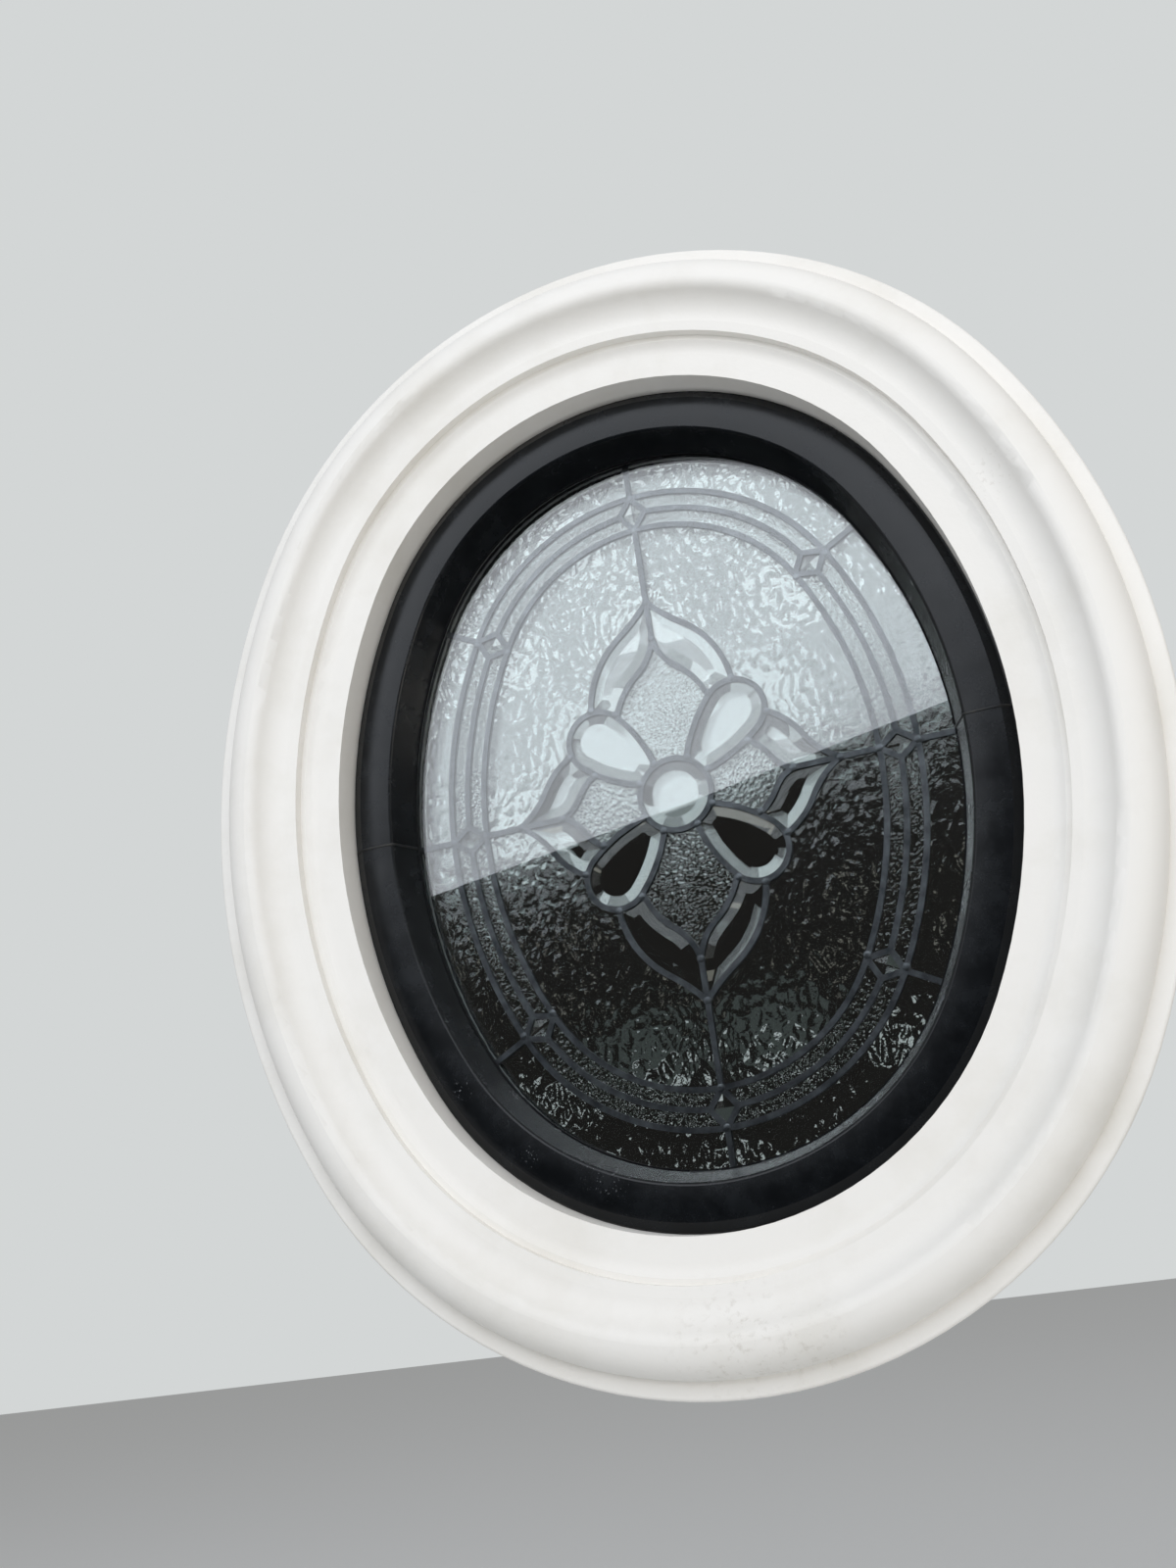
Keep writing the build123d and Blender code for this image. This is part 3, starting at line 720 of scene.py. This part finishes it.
def reliefAt(x, z, look):
    # how deep the relief is at a place: rounded lenses with narrow valleys between them
    wide, tall = look["cell"]
    reach, length, shift = relief["warpReach"], relief["rippleLength"], relief["warp"]
    warp = noise.noise_vector(Vector((x / (reach * wide * mm), relief["warpSlice"], z / (reach * tall * mm))))
    spot = Vector((x / (wide * mm) + shift * warp.x, 0.0, z / (tall * mm) + shift * warp.z))
    nearest = noise.voronoi(spot)[0]
    valley = min(1.0, nearest[0] / max(nearest[1], 1e-6)) ** relief["narrowness"]
    wave = noise.noise(Vector((x / (length * wide * mm), relief["rippleSlice"], z / (length * tall * mm))))
    ripple = 0.5 + 0.5 * wave
    return look["depth"] * mm * (relief["valleys"] * valley + relief["ripple"] * ripple)


def pressPlate(nodeName, look):
    corners, edges, front, back = frontOutline(nodes[nodeName])
    points = pointsInside(corners, edges, look["spacing"] * mm)
    flat = [Vector((x / mm, z / mm)) for x, z in np.concatenate([corners, points])]
    made = delaunay_2d_cdt(flat, edges.tolist(), [], 1, plateMesh["weld"])  # 1 keeps what is inside
    verts = [(p.x * mm, front + reliefAt(p.x * mm, p.y * mm, look), p.y * mm) for p in made[0]]
    faces = [list(face) for face in made[2]]
    sides = {(a, b) for face in faces for a, b in zip(face, face[1:] + face[:1])}
    rim = sorted((a, b) for a, b in sides if (b, a) not in sides)
    behind = {}
    for end in sorted({end for edge in rim for end in edge}):
        behind[end] = len(verts)
        verts.append((verts[end][0], back, verts[end][2]))
    faces += [[b, a, behind[a], behind[b]] for a, b in rim]
    order = {end: i for i, end in enumerate(behind)}
    backFlat = [Vector((verts[end][0] / mm, verts[end][2] / mm)) for end in behind]
    closed = delaunay_2d_cdt(backFlat, [(order[a], order[b]) for a, b in rim], [], 1, plateMesh["weld"])
    backVerts = list(behind.values())
    matching = [backVerts[source[0]] for source in closed[3]]
    faces += [[matching[i] for i in reversed(face)] for face in closed[2]]
    mesh = bpy.data.meshes.new(nodeName + "_pressed")
    mesh.from_pydata(verts, [], faces)
    outward = bmesh.new()
    outward.from_mesh(mesh)
    bmesh.ops.recalc_face_normals(outward, faces=outward.faces)
    outward.to_mesh(mesh)
    outward.free()
    piece = showObject(nodeName + "_pressed", mesh)
    dress(piece, look["slot"])
    smoothCurves(piece, sharpFrom["pressed"])
    piece.visible_shadow = False
    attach(piece, "root")
    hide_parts(nodeName)
    return len(mesh.polygons)


pressed = 0
for name, slot in slotOf.items():
    if slot == "wavy_glass":
        pressed += pressPlate(name, rainGlass)
    elif slot == "granite_glass":
        pressed += pressPlate(name, graniteGlass)
print("textured glass pressed:", pressed, "faces")


# Cames: the flanges' edges are rounded by the die, and the joints are soldered flat and wide

cameEdge = {"round": 0.28, "segments": 2, "sharpFrom": 40}
for name, slot in slotOf.items():
    if slot == "came_metal":
        rounding = nodes[name].modifiers.new("drawn edge", "BEVEL")
        rounding.width = cameEdge["round"] * mm
        rounding.segments = cameEdge["segments"]
        rounding.limit_method = "ANGLE"
        rounding.angle_limit = radians(cameEdge["sharpFrom"])

solder = {
    "across": 7.6,
    "height": 0.45,
    "front": 11.0,  # the Y of the flanges' faces
    "around": 14,
    # the dome's rings, from the crown outwards: shares of its reach and of its height
    "rings": [(0.0, 1.0), (0.35, 0.93), (0.65, 0.66), (0.87, 0.28), (1.0, -0.15)],
    "uneven": 0.13,
    "dark": "#3d3f42",
    "worn": "#606366",
    "roughness": (0.26, 0.42),
    # x and z of the joints in one quarter of the pattern
    "quarter": [(46.7, 90.0), (70.3, 99.0), (76.0, 34.3), (98.0, 58.3), (16.5, 32.6), (33.3, 16.7)],
    "upright": [157.0, 195.0],  # on the middle line, up and down
    "level": [113.0, 157.0],  # and sideways
}
oval = {  # the middle border line, of two arcs at its ends and two at its sides
    "endRadius": 183.0,
    "endCentre": 107.0,
    "sideRadius": 408.5,
    "sideCentre": 198.5,
    "join": 28.3,  # degrees from level, where the arcs meet
    "border": 17.4,  # from it to the lines beside it
}


def placeOnOval(way, outward):
    # x and z in millimetres of a place on the middle border line, or outward from it, in one quarter
    angle = radians(way)
    if way < oval["join"]:
        radius = oval["sideRadius"] + outward
        return radius * cos(angle) - oval["sideCentre"], radius * sin(angle)
    radius = oval["endRadius"] + outward
    return radius * cos(angle), radius * sin(angle) + oval["endCentre"]


def solderPlaces():
    quarter = list(solder["quarter"])
    sideLength = oval["sideRadius"] * radians(oval["join"])
    quarterLength = sideLength + oval["endRadius"] * radians(90 - oval["join"])
    # degrees from level to the place halfway along the quarter's line
    halfway = oval["join"] + (quarterLength / 2 - sideLength) / oval["endRadius"] * 180 / pi
    quarter += [(0.0, z) for z in solder["upright"]] + [(x, 0.0) for x in solder["level"]]
    quarter += [placeOnOval(way, side * oval["border"]) for way in (0.0, halfway, 90.0) for side in (-1, 1)]
    # mirrored both ways, and rounded in a set, so that no place comes twice
    return sorted({(round(a * x, 2), round(b * z, 2)) for x, z in quarter for a in (-1, 1) for b in (-1, 1)})


def solderDome(into, x, z):
    # a low dome with an uneven rim; its edge sinks into the flange
    around = solder["around"]
    crown = None
    last = None
    for share, rise in solder["rings"]:
        y = (solder["front"] - solder["height"] * rise) * mm
        if share == 0:
            crown = into.verts.new((x * mm, y, z * mm))
            continue
        ring = []
        for step in range(around):
            angle = 2 * pi * step / around
            lump = noise.noise(Vector((x * 0.3 + cos(angle), z * 0.3 + sin(angle), 5.0)))
            reach = solder["across"] / 2 * share * (1 + solder["uneven"] * lump)
            ring.append(into.verts.new(((x + reach * cos(angle)) * mm, y, (z + reach * sin(angle)) * mm)))
        for step in range(around):
            after = (step + 1) % around
            if last is None:
                into.faces.new((crown, ring[after], ring[step]))
            else:
                into.faces.new((last[step], last[after], ring[after], ring[step]))
        last = ring
    into.faces.new(last)


def buildSolder():
    domes = bmesh.new()
    places = solderPlaces()
    for x, z in places:
        solderDome(domes, x, z)
    bmesh.ops.recalc_face_normals(domes, faces=domes.faces)
    mesh = bpy.data.meshes.new("solder_joints")
    domes.to_mesh(mesh)
    domes.free()
    piece = showObject("solder_joints", mesh)
    # tin and lead solder, melted on: smoother and a shade brighter than the came
    materials["solder"] = drawnLead("melted tin lead solder", solder)
    dress(piece, "solder")
    smoothCurves(piece, sharpFrom["solder"])
    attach(piece, "root")
    return len(places)


print("cames rounded, joints soldered:", buildSolder())


# Frame seams: the two bent halves are joined at the sides, with a thin line of sealant pressed out

seam = {
    "width": 3.0,
    "proud": 0.9,
    # its section, from low to high: shares of how far it stands out, and of half its width
    "section": [(-0.4, -1), (1, -0.45), (1, 0.45), (-0.4, 1)],
}


def seamOutline(side):
    # the outer outline of the upper half's cut end, x and y in millimetres
    half = bmesh.new()
    half.from_mesh(nodes["frame_upper_half"].data)
    bmesh.ops.remove_doubles(half, verts=half.verts, dist=within["point"])
    cut = [f for f in half.faces if all(abs(v.co.z) < within["plane"] and v.co.x * side > 0 for v in f.verts)]
    after = {}
    for face in cut:
        for loop in face.loops:
            if sum(f in cut for f in loop.edge.link_faces) == 1:
                after[loop.vert] = loop.link_loop_next.vert
    loops = []
    while after:
        start, following = next(iter(after.items()))
        path = [start]
        while following in after and following is not start:
            del after[path[-1]]
            path.append(following)
            following = after[following]
        after.pop(path[-1], None)
        loops.append([(v.co.x / mm, v.co.y / mm) for v in path])
    half.free()
    return max(loops, key=lambda path: max(x for x, y in path) - min(x for x, y in path))


def buildSeams():
    band = bmesh.new()
    for side in (1, -1):
        outline = seamOutline(side)
        area = sum(a[0] * b[1] - b[0] * a[1] for a, b in zip(outline, outline[1:] + outline[:1]))
        turn = 1 if area > 0 else -1  # so that out points out of the frame
        rings = [[] for corner in seam["section"]]
        for before, here, following in zip(outline[-1:] + outline[:-1], outline, outline[1:] + outline[:1]):
            first = Vector((here[1] - before[1], before[0] - here[0])).normalized() * turn
            second = Vector((following[1] - here[1], here[0] - following[0])).normalized() * turn
            out = (first + second).normalized()
            for ring, (push, level) in zip(rings, seam["section"]):
                ring.append(band.verts.new((
                    (here[0] + out.x * seam["proud"] * push) * mm,
                    (here[1] + out.y * seam["proud"] * push) * mm,
                    seam["width"] / 2 * level * mm,
                )))
        for low, high in zip(rings, rings[1:] + rings[:1]):
            for i in range(len(outline)):
                j = (i + 1) % len(outline)
                band.faces.new((low[i], low[j], high[j], high[i]))
    bmesh.ops.recalc_face_normals(band, faces=band.faces)
    mesh = bpy.data.meshes.new("frame_seams")
    band.to_mesh(mesh)
    band.free()
    piece = showObject("frame_seams", mesh)
    dress(piece, "joint_sealant")
    smoothCurves(piece, sharpFrom["seams"])
    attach(piece, "root")


buildSeams()
print("frame seams drawn")
